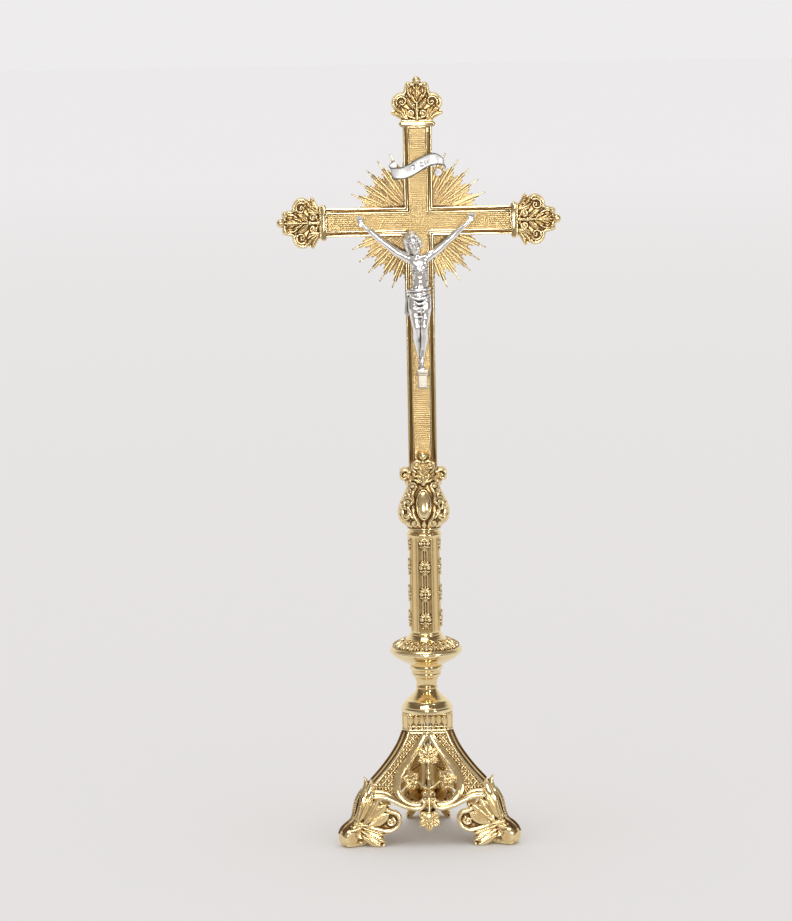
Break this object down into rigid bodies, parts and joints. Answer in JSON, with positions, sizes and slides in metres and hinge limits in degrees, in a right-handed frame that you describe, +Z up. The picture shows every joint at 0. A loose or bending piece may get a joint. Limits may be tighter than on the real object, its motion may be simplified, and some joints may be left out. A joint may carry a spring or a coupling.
{
  "type": "altar cross",
  "caption": "Standing brass altar cross: ornate latin cross with rayed glory and silvered figure on a vase socket, turned stem with flat knop, and pierced three-sided base on acanthus feet.",
  "frame": {"origin": "centre of the circle through the three feet, on the altar top, under the stem's axis", "axes": "+Z up along the stem; -Y is the front, towards which the figure faces; +X is the cross's right arm as seen from the front"},
  "size_m": [0.263, 0.1514, 0.711],
  "materials": {
    "cast_brass": "cast and chased brass, polished on the high places",
    "polished_brass": "turned brass, polished and lacquered",
    "silver_plate": "silver plate, softly polished",
    "steel": "plain zinc-plated steel thread"
  },
  "bodies": {
    "root": {"baluster": "polished_brass", "bell": "polished_brass", "collar_left": "polished_brass", "collar_right": "polished_brass", "collar_top": "polished_brass", "corpus": "silver_plate", "corpus_pins": "silver_plate", "cross_body": "cast_brass", "crown": "cast_brass", "finial_left": "cast_brass", "finial_right": "cast_brass", "finial_studs": "steel", "finial_top": "cast_brass", "foot_rest": "silver_plate", "glory": "cast_brass", "glory_screws": "polished_brass", "knop_lower": "polished_brass", "knop_upper": "polished_brass", "leg_left": "cast_brass", "leg_rear": "cast_brass", "leg_right": "cast_brass", "panel_front": "cast_brass", "panel_left": "cast_brass", "panel_right": "cast_brass", "stem": "polished_brass", "stem_foot": "polished_brass", "stem_ring": "polished_brass", "tie_nut": "steel", "tie_rod": "steel", "tie_washer": "steel", "titulus": "silver_plate", "titulus_pins": "silver_plate", "vase": "cast_brass", "vine_front": "cast_brass", "vine_left": "cast_brass", "vine_right": "cast_brass"}
  },
  "joints": []
}
